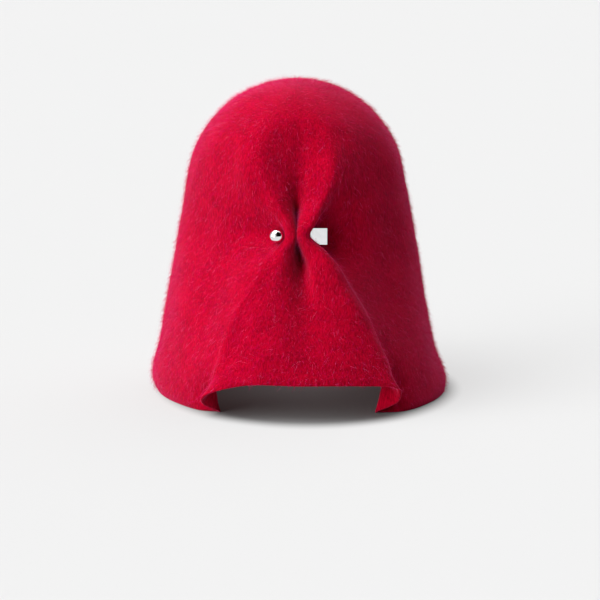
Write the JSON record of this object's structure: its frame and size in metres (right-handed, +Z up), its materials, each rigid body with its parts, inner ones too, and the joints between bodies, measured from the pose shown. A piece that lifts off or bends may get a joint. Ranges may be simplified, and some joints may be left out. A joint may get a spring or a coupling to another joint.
{
  "type": "cloche hat",
  "caption": "Bell-shaped felt cloche hat with a lifted front edge, its front gathered into a pinched pleat that a metal post with a ball end and a square end holds together.",
  "frame": {"origin": "middle of the hat's outline on the floor that its rim stands on", "axes": "+Z up through the crown, -Y out of the pleated front, +X to the wearer's left"},
  "size_m": [0.2382, 0.2488, 0.25],
  "materials": {
    "felt": "matt brushed wool felt",
    "polished_metal": "mirror polished"
  },
  "bodies": {
    "root": {"felt_hood": "felt", "piercing_bar": "polished_metal", "ball_end": "polished_metal", "square_end": "polished_metal"}
  },
  "joints": []
}
